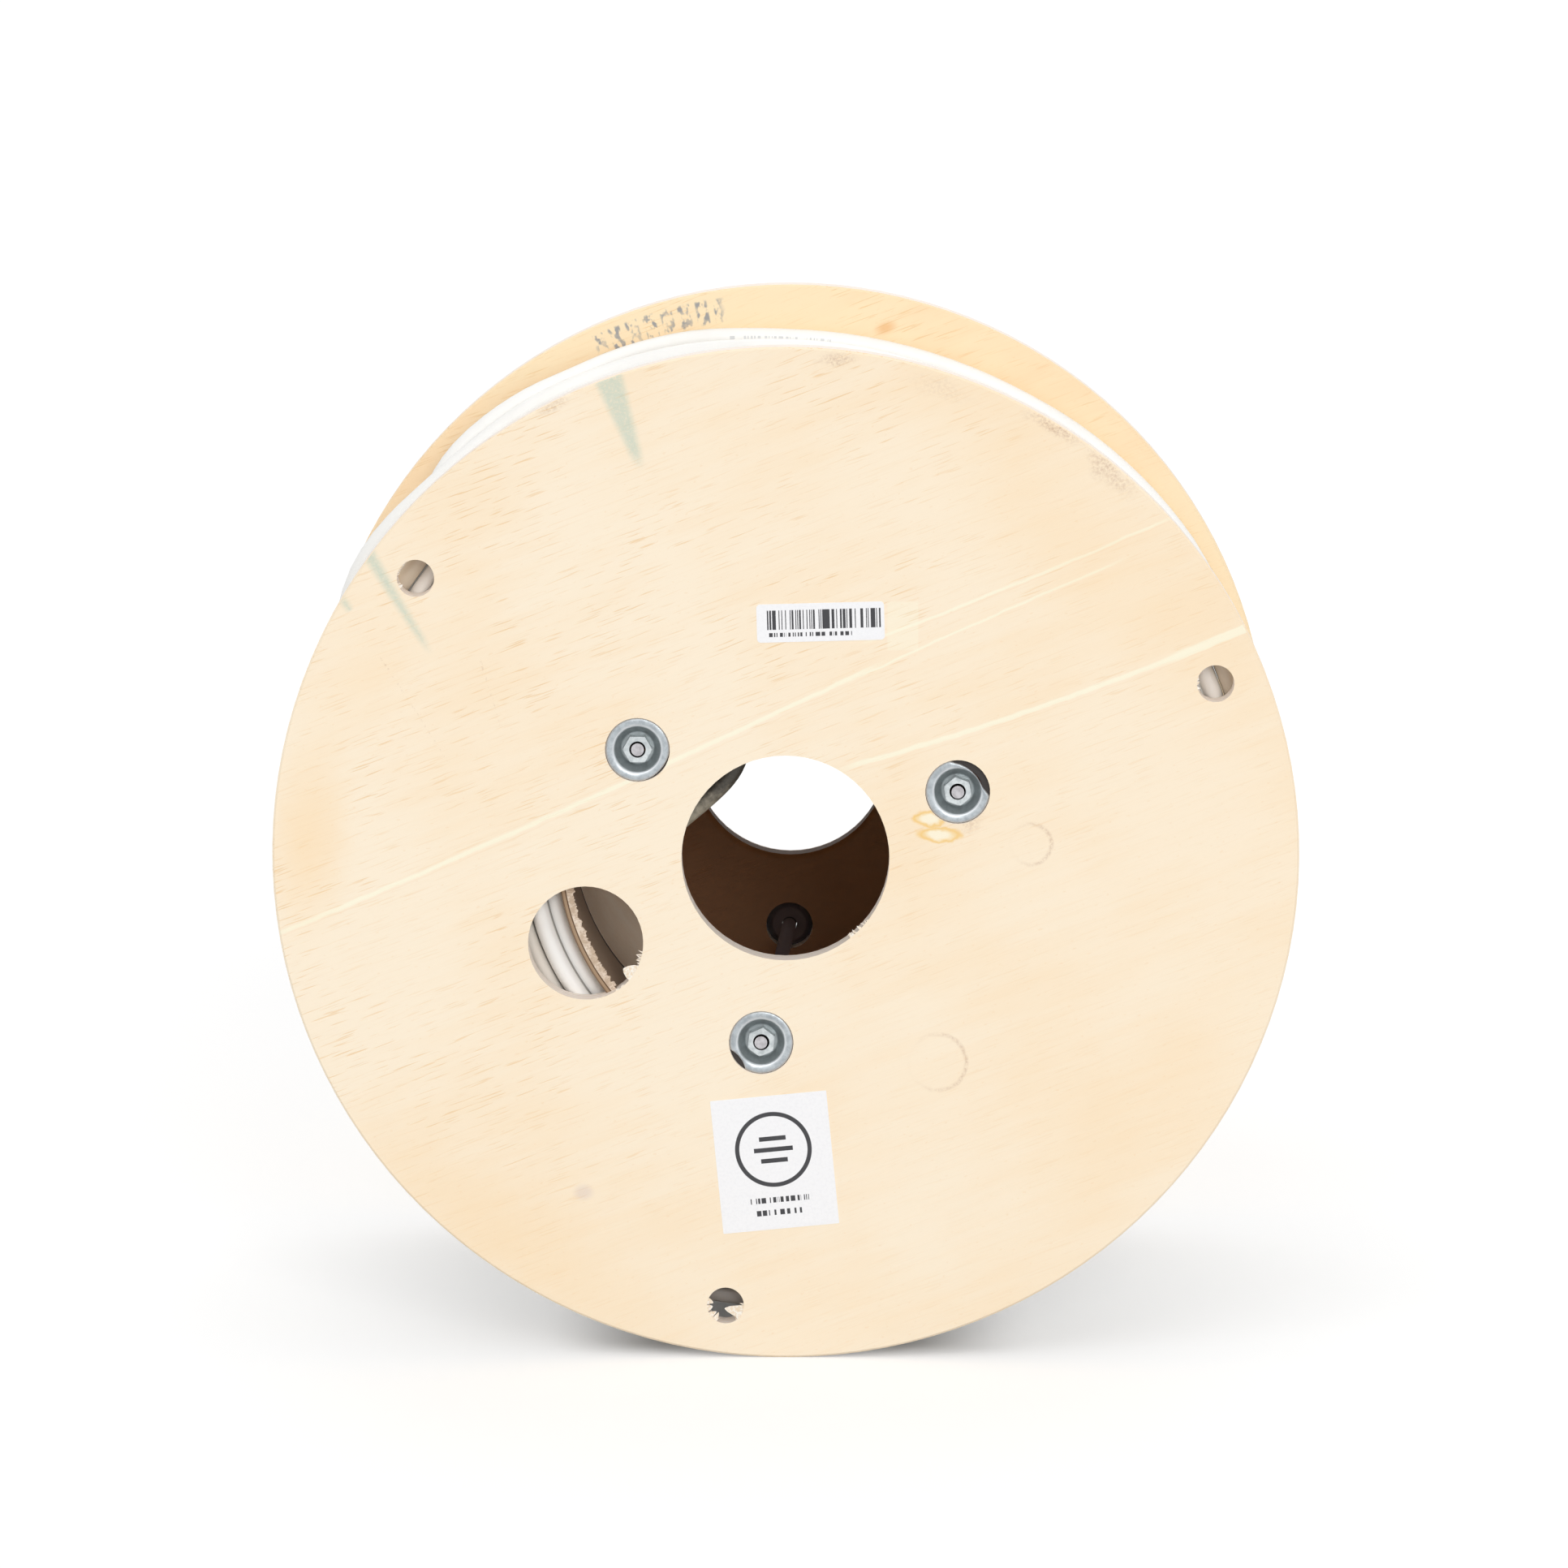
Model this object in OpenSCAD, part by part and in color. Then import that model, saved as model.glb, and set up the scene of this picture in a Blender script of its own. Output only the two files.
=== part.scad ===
// Cable reel: two plywood flanges on a board drum, drawn together by three threaded
// rods with cup washers and nuts, and wound full of cable.
// The axis lies along Y, the front flange faces -Y, Z is up and the reel stands on its
// two rims. The origin is the middle of the axis.

/* [Flanges] */
// Diameter of both flanges
flange_d = 400; // [380:1:460]
// Thickness of the flange plywood
flange_t = 10; // [9:0.5:18]
// Clear width between the flanges
traverse_w = 220; // [120:1:320]
// Diameter of the arbor bore through both flanges
bore_d = 81; // [40:0.5:90]
// Sanded arris along the edges of the rims
rim_arris = 0.8; // [0.2:0.1:2]
// Turn of the rear flange against the front one, in degrees
rear_turn = 6; // [0:0.5:8]

/* [Flange holes] */
// Direction of the first tie rod, in degrees from +X towards +Z
pattern_angle = 22.5; // [0:0.5:120]
// Diameter of a hole near the rim for the outer cable end
end_hole_d = 14.5; // [8:0.5:20]
// Distance from the rim to the middle of a cable end hole
end_hole_inset = 19.5; // [12:0.5:26]
// Diameter of the start hole for the inner cable end
start_hole_d = 45; // [24:1:46]
// Distance from the outside of the drum to the middle of the start hole
start_hole_inset = 4.6; // [0:0.2:8]

/* [Drum] */
// Outside diameter of the drum
drum_d = 178; // [170:1:220]
// Thickness of the drum wall
drum_wall = 4; // [2:0.5:6]
// Depth of the groove in each flange that a drum end sits in
groove_depth = 4; // [2:0.5:6]

/* [Cable] */
// Diameter of the cable
cable_d = 7.6; // [5:0.1:9]
// Number of layers wound on the drum
wound_layers = 14; // [4:1:14]

/* [Tie rods] */
// Diameter of a rod
rod_d = 6; // [4:0.5:7]
// Distance from the inside of the drum to the middle of a rod
rod_inset = 12.5; // [12:0.5:16]
// Distance of the rod ends below the flange faces
rod_end_recess = 0.4; // [0:0.1:2]
// Width of a nut across its flats
nut_flats = 10; // [9:0.5:11]
// Height of a nut
nut_h = 5; // [3:0.5:6]

/* [Cup washers] */
// Outside diameter of the brim
brim_d = 24.6; // [22:0.2:28]
// Thickness of the pressed steel
washer_t = 1; // [0.6:0.1:1.6]
// Depth of the top of the brim below the flange face
brim_recess = 0.9; // [0.2:0.1:1.5]
// Diameter of the mouth of the cup
cup_mouth_d = 17.4; // [16:0.2:19]
// Diameter of the floor of the cup
cup_floor_d = 13; // [12.5:0.1:14]
// Depth of the floor of the cup below the flange face
cup_depth = 6; // [5:0.1:7]

/* [Hidden] */
$fn = 96;
rod_count = 3;
full_turn = 360;
half_turn = 180;
quarter_turn = 90;
hex_sides = 6;

// Room between pieces, and the overrun of every cut
groove_room = 0.2;
wind_room = 0.2;
washer_room = 0.3;
rod_room = 0.4;
thread_room = 0.2;
overrun = 1;

// Flange and drum
flange_r = flange_d / 2;
bore_r = bore_d / 2;
drum_r = drum_d / 2;
drum_in_r = drum_r - drum_wall;
drum_len = traverse_w + 2 * groove_depth;
inner_face = traverse_w / 2;
outer_face = inner_face + flange_t;
rod_circle_r = drum_in_r - rod_inset;
end_hole_circle_r = flange_r - end_hole_inset;
start_circle_r = drum_r - start_hole_inset;
hole_step = full_turn / rod_count;

// Drift of each flange's rod holes and start hole from its middle, as they were drilled
front_drift = [0, -1.5];
rear_drift = [1.6, 1.4];

// Winding: each layer lies in the hollows of the one below it
cable_r = cable_d / 2;
wind_half = inner_face - wind_room;
turns = floor(2 * wind_half / cable_d);
turn_pitch = 2 * wind_half / turns;
layer_rise = sqrt(pow(cable_d, 2) - pow(turn_pitch / 2, 2));
nest_angle = atan2(turn_pitch / 2, layer_rise);
valley_angle = 80;
arc_step = 30;
last_layer = wound_layers - 1;

// Washer, with a shoulder rolled into the mouth of its cup
shoulder_share = 0.6;
cup_wall_share = 0.8;
cup_foot_share = 0.4;
brim_r = brim_d / 2;
seat_depth = brim_recess + washer_t;
seat_r = brim_r + washer_room;
shoulder = washer_t * shoulder_share;
cup_mouth_r = cup_mouth_d / 2;
cup_floor_r = cup_floor_d / 2;
cup_out_r = cup_mouth_r + washer_t * cup_wall_share;
cup_foot_r = cup_floor_r + washer_t * cup_foot_share;
cup_hole_r = cup_out_r + washer_room;
rod_r = rod_d / 2;
rod_hole_r = rod_r + rod_room;

// Nut, chamfered at both ends
chamfer_share = 0.6;
nut_corner_r = nut_flats / sqrt(3);
nut_chamfer = (nut_corner_r - nut_flats / 2) * chamfer_share;
nut_middle = outer_face - cup_depth + nut_h / 2;
nut_turns = [17.5, 37.5, 0.5];

// Bites out of two front brims: direction from the washer, then depth and radius as shares
// of the brim's radius
bite_turns = [38, 0, 217];
bite_depth_shares = [0.235, 0, 0.155];
bite_round_shares = [8, 1, 1];

wood = "#f7dcb6";
wood_deep = "#efcf9f";
board = "#a98a6a";
jacket = "#f4f4f2";
zinc = "#b9bfc6";

// Lays shapes that are built along +Z so that +Z points to the front
module to_front() {
    rotate([quarter_turn, 0, 0])
        children();
}

// The same for the rear, turned with the rear flange
module to_rear() {
    rotate([quarter_turn, 0, 0])
        rotate([0, 0, rear_turn])
            mirror([0, 0, 1])
                children();
}

// Puts a shape on the circle of rod k
module at_rod(k, drift) {
    translate(drift)
        rotate([0, 0, pattern_angle + k * hole_step])
            translate([rod_circle_r, 0, 0])
                children();
}

// Flange disc with its arrises and drum groove, as one turned profile
module flange_blank() {
    groove_floor = inner_face + groove_depth;
    rotate_extrude()
        polygon([
            [bore_r, inner_face],
            [drum_in_r - groove_room, inner_face],
            [drum_in_r - groove_room, groove_floor],
            [drum_r + groove_room, groove_floor],
            [drum_r + groove_room, inner_face],
            [flange_r - rim_arris, inner_face],
            [flange_r, inner_face + rim_arris],
            [flange_r, outer_face - rim_arris],
            [flange_r - rim_arris, outer_face],
            [bore_r, outer_face]
        ]);
}

// Round cut from the outer face down to a depth
module face_cut(r, depth) {
    translate([0, 0, outer_face - depth])
        cylinder(r = r, h = depth + overrun);
}

// One flange with its stepped rod holes, cable end holes and start hole
module flange(drift) {
    through = flange_t + overrun;
    difference() {
        flange_blank();
        for (k = [0 : rod_count - 1]) {
            at_rod(k, drift) {
                face_cut(seat_r, seat_depth);
                face_cut(cup_hole_r, through);
            }
            rotate([0, 0, pattern_angle + k * hole_step])
                translate([end_hole_circle_r, 0, 0])
                    face_cut(end_hole_d / 2, through);
        }
        translate(drift)
            rotate([0, 0, pattern_angle + half_turn])
                translate([start_circle_r, 0, 0])
                    face_cut(start_hole_d / 2, through);
    }
}

module front_flange() {
    color(wood)
        to_front()
            flange(front_drift);
}

module rear_flange() {
    color(wood_deep)
        to_rear()
            flange(rear_drift);
}

// Tube whose ends sit on the floors of the flange grooves
module drum() {
    color(board)
        to_front()
            rotate_extrude()
                translate([drum_in_r, -drum_len / 2])
                    square([drum_wall, drum_len]);
}

// Middle radius of a layer, and how far its end turns lie from the middle of the reel
function layer_r(j) = drum_r + cable_r + j * layer_rise;
function end_turn(j) = wind_half - turn_pitch / 2 * (1 + j % 2);

// Where the outline of an end turn starts and stops, against the layers below and above:
// 0 points away from the axis and 90 towards the flange
function arc_start(j) = j == 0 ? half_turn : half_turn + nest_angle * (j % 2 == 0 ? 1 : -1);
function arc_stop(j) = j == last_layer ? -valley_angle : nest_angle * (j % 2 == 0 ? -1 : 1);

// Points along one turn's outline
function turn_arc(r, y, start, stop, side) =
    let (steps = ceil(abs(stop - start) / arc_step))
    [for (k = [0 : steps])
        let (a = start + (stop - start) * k / steps)
        [r + cable_r * cos(a), y + side * cable_r * sin(a)]];

function end_arc(j, side) =
    turn_arc(layer_r(j), side * end_turn(j), arc_start(j), arc_stop(j), side);

function reversed(list) = [for (k = [len(list) - 1 : -1 : 0]) list[k]];

// Outline of one end of the winding, from the drum out, and of the last layer between them
function wound_end(side) = [for (j = [0 : last_layer]) each end_arc(j, side)];
function wound_outside() =
    let (first = end_turn(last_layer), count = turns - last_layer % 2)
    [for (i = [1 : count - 2])
        each turn_arc(layer_r(last_layer), -first + i * turn_pitch, valley_angle, -valley_angle, -1)];

// The wound cable as one turned solid, its turns standing out on the outside and the ends
module cable_winding() {
    color(jacket)
        to_front()
            rotate_extrude()
                polygon(concat(wound_end(-1), wound_outside(), reversed(wound_end(1))));
}

// Middle of the nut on rod k, at a height along the axis of to_front
function rod_point(k, height, turn, drift) =
    let (
        a = pattern_angle + k * hole_step,
        x = rod_circle_r * cos(a) + drift[0],
        y = rod_circle_r * sin(a) + drift[1]
    )
    [x * cos(turn) - y * sin(turn), x * sin(turn) + y * cos(turn), height];

// Rod k runs straight through the middles of its two nuts, so it leans when the flanges
// are turned against each other
module tie_rod(k) {
    lower = rod_point(k, -nut_middle, rear_turn, rear_drift);
    upper = rod_point(k, nut_middle, 0, front_drift);
    along = upper - lower;
    lean = acos(along[2] / norm(along));
    heading = atan2(along[1], along[0]);
    reach = outer_face - rod_end_recess - nut_middle;
    color(zinc)
        to_front()
            translate(lower)
                rotate([0, lean, heading])
                    translate([0, 0, -reach])
                        cylinder(r = rod_r, h = norm(along) + 2 * reach);
}

// Cup washer pressed from sheet: brim, shoulder, cup and floor in one turned profile
module cup_washer(bite_turn, bite_depth, bite_r) {
    difference() {
        translate([0, 0, outer_face])
            rotate_extrude()
                polygon([
                    [rod_hole_r, -cup_depth],
                    [cup_floor_r, -cup_depth],
                    [cup_mouth_r, -brim_recess - shoulder],
                    [cup_mouth_r + shoulder, -brim_recess],
                    [brim_r, -brim_recess],
                    [brim_r, -seat_depth],
                    [cup_out_r, -seat_depth],
                    [cup_foot_r, -cup_depth - washer_t],
                    [rod_hole_r, -cup_depth - washer_t]
                ]);
        if (bite_depth > 0)
            rotate([0, 0, bite_turn])
                translate([brim_r - bite_depth + bite_r, 0, outer_face - seat_depth - overrun])
                    cylinder(r = bite_r, h = seat_depth + 2 * overrun);
    }
}

module front_washer(k) {
    color(zinc)
        to_front()
            at_rod(k, front_drift)
                rotate([0, 0, -pattern_angle - k * hole_step])
                    cup_washer(
                        bite_turns[k],
                        bite_depth_shares[k] * brim_r,
                        bite_round_shares[k] * brim_r
                    );
}

module rear_washer(k) {
    color(zinc)
        to_rear()
            at_rod(k, rear_drift)
                cup_washer(0, 0, 0);
}

// Hexagon nut on the cup floor, its corners turned down by cones at both ends
module nut(turn) {
    chamfer_r = nut_corner_r - nut_chamfer;
    cone_r = nut_corner_r + nut_chamfer;
    cone_h = 2 * nut_chamfer;
    translate([0, 0, outer_face - cup_depth])
        difference() {
            intersection() {
                rotate([0, 0, turn])
                    cylinder(r = nut_corner_r, h = nut_h, $fn = hex_sides);
                rotate_extrude()
                    polygon([
                        [0, 0],
                        [chamfer_r, 0],
                        [cone_r, cone_h],
                        [cone_r, nut_h - cone_h],
                        [chamfer_r, nut_h],
                        [0, nut_h]
                    ]);
            }
            translate([0, 0, -overrun])
                cylinder(r = rod_r + thread_room, h = nut_h + 2 * overrun);
        }
}

module front_nut(k) {
    color(zinc)
        to_front()
            at_rod(k, front_drift)
                nut(nut_turns[k]);
}

module rear_nut(k) {
    color(zinc)
        to_rear()
            at_rod(k, rear_drift)
                nut(nut_turns[k]);
}

front_flange();
rear_flange();
drum();
cable_winding();
for (k = [0 : rod_count - 1]) {
    tie_rod(k);
    front_washer(k);
    rear_washer(k);
    front_nut(k);
    rear_nut(k);
}
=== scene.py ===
"""Looks of a plywood cable reel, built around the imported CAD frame.

The origin is the middle of the reel, +Y runs along its axis away from the camera and +Z is up.
Sizes and places are in millimetres, angles in degrees, unless a name says otherwise. A face's
places are (x, z) as seen from the front, and its angles run from +X towards +Z.
"""

import math
import random

import bmesh
import bpy
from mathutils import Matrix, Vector


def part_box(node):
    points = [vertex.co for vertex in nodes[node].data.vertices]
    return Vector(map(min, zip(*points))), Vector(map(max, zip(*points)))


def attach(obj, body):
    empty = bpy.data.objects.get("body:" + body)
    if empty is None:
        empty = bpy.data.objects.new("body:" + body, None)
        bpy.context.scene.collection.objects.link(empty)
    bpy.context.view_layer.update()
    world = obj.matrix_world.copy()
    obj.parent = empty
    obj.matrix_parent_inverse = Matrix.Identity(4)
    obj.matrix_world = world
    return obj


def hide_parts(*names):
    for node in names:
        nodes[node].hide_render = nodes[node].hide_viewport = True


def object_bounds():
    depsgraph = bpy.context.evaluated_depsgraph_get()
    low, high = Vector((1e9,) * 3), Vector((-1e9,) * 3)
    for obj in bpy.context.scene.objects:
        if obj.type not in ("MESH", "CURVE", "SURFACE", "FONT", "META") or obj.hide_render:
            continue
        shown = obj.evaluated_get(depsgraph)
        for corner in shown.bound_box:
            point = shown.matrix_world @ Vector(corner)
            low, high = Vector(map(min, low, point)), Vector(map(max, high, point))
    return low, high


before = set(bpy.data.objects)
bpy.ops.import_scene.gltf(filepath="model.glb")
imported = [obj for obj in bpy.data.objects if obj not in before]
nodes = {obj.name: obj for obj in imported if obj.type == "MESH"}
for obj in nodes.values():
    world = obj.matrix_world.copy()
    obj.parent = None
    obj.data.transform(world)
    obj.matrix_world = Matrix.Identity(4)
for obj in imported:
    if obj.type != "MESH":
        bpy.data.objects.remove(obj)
cad_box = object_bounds()

MM = 0.001
BODY = "root"

# Camera, in metres
CAMERA_AT = (0.0270, -2.9691, 0.5224)
CAMERA_TILT = 80.182
CAMERA_PAN = 0.554
CAMERA_LENS = 170.8
SENSOR_WIDTH = 36

# Light: soft suns and an even sky; each sun's direction, strength and angle across
SUNS = {
    "key_from_upper_left": ((-1.0, -2.0, 2.6), 0.4, 40),
    "fill_from_upper_right": ((0.75, -2.6, 1.1), 0.82, 25),
    "top_from_behind": ((0.2, 1.5, 2.2), 0.5, 50),
}
SKY_STRENGTH = 0.66
FLOOR_SIZE_M = 80
FLOOR_TONE = 0.7
FLOOR_SPECK = 0.01
FLOOR_GLOW = 0.36

# Reel, read from the frame
OUTER_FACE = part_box("front_flange")[0].y / -MM
INNER_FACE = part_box("front_flange")[1].y / -MM
DRUM_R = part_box("drum")[1].x / MM
DRUM_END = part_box("drum")[1].y / MM
DRUM_WALL = 4.0
DRUM_SEAM_Y = -62.0
BORE_R = 40.5
PLY = 1.43
SIDES = {"front": -1, "rear": 1}

# Cable and the places of its turns
CABLE_R = 3.8
CABLE_SIDES = 14
STEPS_A_TURN = 120
LAY = 7.85
BED_TURNS = 27
BED_R = 170.9
TOP_R = 177.4
TOP_TURNS = 18
TOP_ANGLE = 20
RISE_FROM = -0.18
RISE_TURNS = 0.48
RISE_HEIGHT = 14.0
RISE_SHIFT = 1.0
STEP_OVER_SHARE = 0.14
LAST_Y = 106.1
CORE_END = 100
CORE_R = 167
CORE_GAP = 0.1
BED_ARC_STEP = 25
SWAY = 0.12
RIPPLE = 0.1
PRINT_ANGLE = 97.5
PRINT_LENGTH = 44
# Crossing from the end of the outer layer to the rear flange, with a loose bow: angle, radius, y
CROSSING = (
    (TOP_ANGLE, TOP_R, 43.2), (45, 178.2, 47.0), (70, 178.5, 54.0), (92, 178.5, 68.0), (104, 179.6, 84.0),
    (115, 181.6, 94.0), (125, 185.0, 91.6), (135, 187.2, 88.9), (142, 190.2, 88.6), (148, 194.2, 89.0),
    (153, 196.8, 90.0), (158, 197.0, 92.0), (165, 193.6, 95.0), (175, 187.0, 99.5), (187, 180.5, 104.0),
    (200, 177.6, 106.0), (212, TOP_R, LAST_Y),
)
# Last turn: it bows out at the right, lifts off at the top and goes into an end hole of the rear flange
LAST_TURN = (
    (212, TOP_R, LAST_Y), (300, TOP_R, LAST_Y), (325, 180.5, LAST_Y), (350, 187.0, LAST_Y),
    (372, 190.4, LAST_Y), (386, 189.7, LAST_Y), (394, 187.5, LAST_Y), (402, 184.9, LAST_Y),
    (410, 182.4, LAST_Y), (420, 179.6, LAST_Y), (434, 177.9, LAST_Y), (448, 178.0, LAST_Y),
    (456, 179.6, 106.0), (463, 182.2, 105.4), (472, 184.4, 103.8), (479, 185.8, 101.5),
    (485, 188.6, 98.6), (491, 190.4, 96.6), (496, 190.8, 96.0), (500, 189.4, 97.0),
    (503.6, 186.6, 99.5), (506.4, 183.6, 103.5), (508, 181.4, 109.5), (508.5, 180.5, 115.0),
    (508.5, 180.5, 119.4),
)
PATH_STEP = 3
# How far a cable may lean along the axis before its section turns with it
STEEP = 0.6
# Turns at the ends of the winding, seen through the holes of the flanges: radius, distance from the
# flange, share of the lean of the outermost turns
END_TURNS = {
    "front": (
        (92.8, 7.2, 0), (99.0, 4.1, 0), (106.6, 6.2, 0), (167.4, 4.1, 1), (175.0, 4.1, 1), (182.6, 4.1, 1),
    ),
    "rear": ((92.8, 8.0, 0), (98.3, 4.1, 0), (106.0, 5.4, 0), (164.0, 4.1, 0)),
}
END_LEAN = (1.914, 3.477)
# Painted shade on the front end turns: y where it begins and is full, radii of grooves and outer turns, and
# the heights between which it darkens
END_SHADE_Y = (-101.9, -102.6)
INNER_GROOVE = 95.3
SECOND_GROOVE = 102.8
OUTER_TURNS = 166.0
LAST_GROOVE = 178.8
SHADE_Z = (-110.0, -165.0)
# Inner end of the cable, from the drum's wall into view behind the bore: x, y, z
INNER_END = (
    (-85.6, -84, -6.0), (-76, -87, -8.2), (-66, -91, -6.4), (-56, -95, -1.0), (-47.5, -98, 6.0),
    (-39.3, -100, 13.3), (-31.0, -100.5, 20.4), (-24.6, -100.5, 26.6), (-20.4, -100.5, 32.4),
    (-17.9, -100.5, 38.6),
)

# Threaded rods
THREAD_PITCH = 1.0
THREAD_SIDES = 16
THREAD_CREST = 2.95
THREAD_ROOT = 2.42
STUB_R = 2.5
STUB_LENGTH = 1.6

# Cup washers: radius and depth below the flange's face, from the hole over the brim and back
WASHER_PROFILE = (
    (3.1, 6.0), (6.0, 6.0), (6.45, 5.92), (6.75, 5.6), (7.75, 3.9), (8.78, 2.15), (9.0, 1.62), (9.28, 1.18),
    (9.75, 0.88), (10.4, 0.74), (11.1, 0.7), (11.7, 0.76), (12.15, 0.92), (12.4, 1.2), (12.45, 1.86),
    (9.72, 1.88), (9.55, 2.15), (9.3, 2.6), (7.3, 6.55), (6.95, 6.92), (6.5, 7.0), (3.1, 7.0),
)
WASHER_STEPS = 120
BRIM_R = 12.45
BRIM_ROOT = 9.0
# Brim of the washer that is torn in a crescent: angle, radius
CRESCENT = (
    (-8, BRIM_R), (-1, 11.2), (6, 10.2), (15, 9.6), (30, 9.4), (50, 9.5), (65, 9.9), (80, 10.5),
    (95, 11.3), (106, BRIM_R),
)
# Lens-shaped bite in another brim: the circle that cuts it
BITE_ANGLE = 217
BITE_R = 11.1
BITE_FROM_MIDDLE = 21.5
BITE_HALF_SPAN = 60
LEAST_BRIM = 0.3
# Thin gap beside a third brim
SLACK_ANGLE = -40
SLACK_HALF_SPAN = 45
SLACK_WIDTH = 0.5

# Labels: middle, width, height, tilt, corner radius
BAR_LABEL = ((13.6, 93.0), 49.5, 15.0, 1.6, 1.5)
MARK_LABEL = ((-4.2, -121.2), 45.7, 53.5, 5.6, 0.4)
LABEL_T = 0.14
CORNER_STEPS = 6

# Torn veneer at the holes of the front flange. Chips: angle on the hole's edge, length, width at the root,
# lean, depth of the top, thickness
START_CHIPS = (
    (-32.5, 4.6, 7.4, -0.8, 0.3, 1.4), (-9.5, 1.7, 0.6, 0.5, 0.4, 0.6), (-12.5, 2.4, 0.8, -0.5, 0.7, 0.6),
    (-15.5, 2.0, 0.7, 0.6, 0.3, 0.6), (-18.5, 1.8, 0.9, -0.3, 0.6, 0.6),
)
END_CHIPS = (
    (-25, 7.0, 5.5, -1.4, 0.5, 1.0), (-6, 2.5, 1.6, 0.3, 0.3, 0.8), (165, 2.4, 2.6, 0.4, 0.4, 0.9),
    (190, 2.2, 2.8, -0.3, 0.6, 0.9), (213, 2.8, 2.4, 0.3, 0.5, 0.9), (234, 3.2, 2.0, -0.4, 0.8, 0.9),
)
# Hole middle, radius, set chips, and stretches of random ones: how many, first and last angle, longest
TORN_HOLES = {
    "start_hole_splinters": ((-77.98, -33.80), 22.5, START_CHIPS, ((5, -22, -9, 1.8), (9, -78, -45, 0.7))),
    "end_hole_splinters_1": ((166.76, 69.07), 7.25, (), ((9, 150, 230, 1.2),)),
    "end_hole_splinters_2": ((-143.20, 109.88), 7.25, (), ((9, 130, 215, 1.6),)),
    "end_hole_splinters_3": ((-23.56, -178.96), 7.25, END_CHIPS, ((9, 150, 240, 2.0), (9, -60, 20, 2.6))),
    "bore_splinters": ((0.0, 0.0), BORE_R, (), ((12, -52, -32, 1.9),)),
}
CHIP_SEED = 7
CHIP_ROOT = 0.5
# Shares of a chip's length and width
CHIP_TAPER = ((0.0, 1.0), (0.45, 0.8), (0.8, 0.45), (1.0, 0.06))

# Torn flap at the front end of the drum
FRAY_ANGLES = (189, 218)
FRAY_STEPS = 110
FRAY_SEED = 3
FRAY_ROOT = 1.4
FRAY_T = 0.9


def tone(red, green, blue):
    """The colour of a shader socket from an sRGB colour of 0 to 255."""
    parts = [c / 255 for c in (red, green, blue)]
    return tuple(c / 12.92 if c <= 0.04045 else ((c + 0.055) / 1.055) ** 2.4 for c in parts) + (1.0,)


def unit(angle):
    """Cosine and sine of an angle."""
    return math.cos(math.radians(angle)), math.sin(math.radians(angle))


def polar(angle, radius, y):
    """A point at an angle and radius about the reel's axis."""
    c, s = unit(angle)
    return Vector((radius * c, y, radius * s))


def smooth(share):
    """Smooth step from 0 to 1."""
    share = min(1.0, max(0.0, share))
    return share * share * (3 - 2 * share)


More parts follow.
